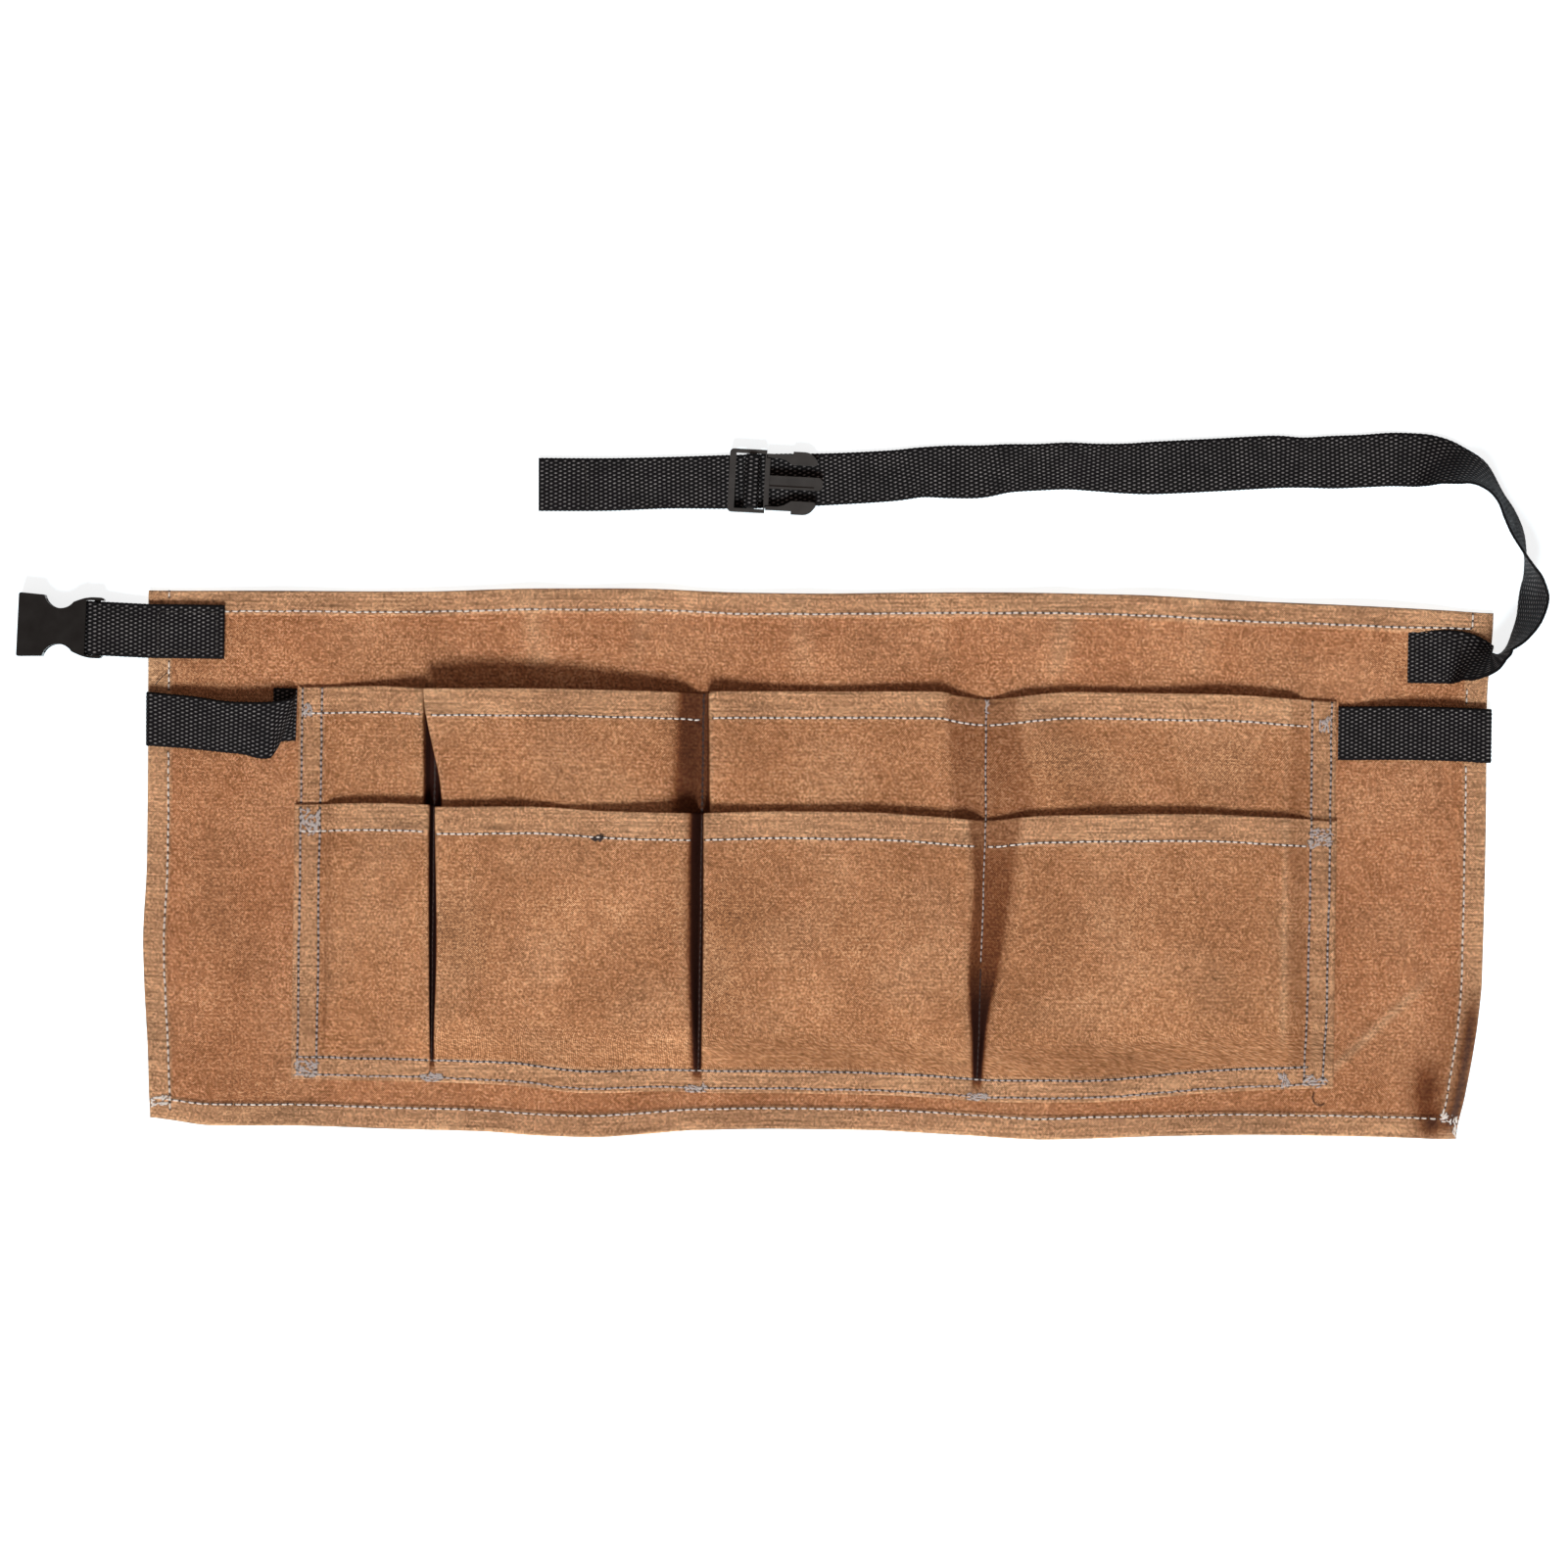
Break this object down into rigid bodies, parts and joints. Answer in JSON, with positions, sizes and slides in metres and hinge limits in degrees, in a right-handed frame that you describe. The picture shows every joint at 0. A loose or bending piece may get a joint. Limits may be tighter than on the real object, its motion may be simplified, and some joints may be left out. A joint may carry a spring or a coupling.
{
  "type": "tool belt",
  "caption": "Waist tool apron of waxed canvas with two rows of open pockets, webbing tool loops and an adjustable webbing strap closed by a side release buckle.",
  "frame": {"origin": "centre of the panel's back face, the face that rests on the wearer", "axes": "+X along the belt to the wearer's left, +Y up the apron, +Z out of the pockets' side"},
  "size_m": [0.7106, 0.328, 0.0267],
  "materials": {
    "panel_canvas": "waxed brown canvas, close plain weave",
    "pocket_canvas": "waxed brown canvas, creased and rubbed lighter at the folds",
    "webbing": "woven black polypropylene webbing",
    "buckle_plastic": "moulded black acetal, fine satin",
    "pale_thread": "pale grey lockstitch thread",
    "grey_thread": "mid grey lockstitch thread",
    "black_thread": "black lockstitch thread"
  },
  "bodies": {
    "apron": {"back_panel": "panel_canvas", "rear_pocket_strip": "pocket_canvas", "front_pocket_strip": "pocket_canvas", "left_tool_loop": "webbing", "right_tool_loop": "webbing", "buckle_tab_sewn_end": "webbing", "strap_sewn_end": "webbing", "panel_top_hem_stitching": "pale_thread", "panel_bottom_hem_stitching": "pale_thread", "panel_left_hem_stitching": "pale_thread", "panel_right_hem_stitching": "pale_thread", "rear_mouth_stitching_1": "pale_thread", "rear_mouth_stitching_2": "pale_thread", "rear_mouth_stitching_3": "pale_thread", "rear_mouth_stitching_4": "pale_thread", "front_mouth_stitching_1": "pale_thread", "front_mouth_stitching_2": "pale_thread", "front_mouth_stitching_3": "pale_thread", "front_mouth_stitching_4": "pale_thread", "left_side_outer_stitching": "grey_thread", "left_side_inner_stitching": "grey_thread", "right_side_outer_stitching": "grey_thread", "right_side_inner_stitching": "grey_thread", "bottom_lower_stitching": "grey_thread", "bottom_upper_stitching": "grey_thread", "divider_stitching_1": "grey_thread", "divider_stitching_2": "grey_thread", "divider_stitching_3": "grey_thread", "buckle_tab_box_stitching": "black_thread", "strap_end_box_stitching": "black_thread"},
    "buckle_tab": {"buckle_tab_loop": "webbing"},
    "female_buckle": {"buckle_socket": "buckle_plastic"},
    "strap_turn": {"strap_turn": "webbing"},
    "strap_run": {"strap_run": "webbing", "strap_tail_stitching": "black_thread"},
    "male_buckle": {"male_buckle_frame": "buckle_plastic", "webbing_over_bar": "webbing"},
    "upper_arm": {"upper_release_arm": "buckle_plastic"},
    "lower_arm": {"lower_release_arm": "buckle_plastic"}
  },
  "joints": [
    {"name": "tab_fold", "type": "hinge", "parent": "apron", "child": "buckle_tab", "pos_m": [-0.3134, 0.1053, 0.0036], "axis": [0, 1, 0], "range_deg": [-90, 90]},
    {"name": "socket_pivot", "type": "hinge", "parent": "buckle_tab", "child": "female_buckle", "pos_m": [-0.33654, 0.10611, 0.00505], "axis": [0.0349, 0.9994, 0], "range_deg": [-90, 90]},
    {"name": "strap_root_swing", "type": "hinge", "parent": "apron", "child": "strap_turn", "pos_m": [0.3194, 0.105, 0.01255], "axis": [0, 0, -1], "range_deg": [0, 90]},
    {"name": "strap_bend_swing", "type": "hinge", "parent": "strap_turn", "child": "strap_run", "pos_m": [0.3147, 0.1764, 0.01255], "axis": [0, 0, -1], "range_deg": [0, 75]},
    {"name": "buckle_slide", "type": "slide", "parent": "strap_run", "child": "male_buckle", "axis": [0.9991, 0.043, 0], "range_m": [-0.06, 0.24]},
    {"name": "upper_arm_flex", "type": "hinge", "parent": "male_buckle", "child": "upper_arm", "pos_m": [-0.02634, 0.19043, 0.0041], "axis": [0, 0, -1], "range_deg": [0, 8], "stiffness_Nm_per_rad": 0.3},
    {"name": "lower_arm_flex", "type": "hinge", "parent": "male_buckle", "child": "lower_arm", "pos_m": [-0.02727, 0.16605, 0.0041], "axis": [0, 0, 1], "range_deg": [0, 8], "stiffness_Nm_per_rad": 0.3}
  ]
}
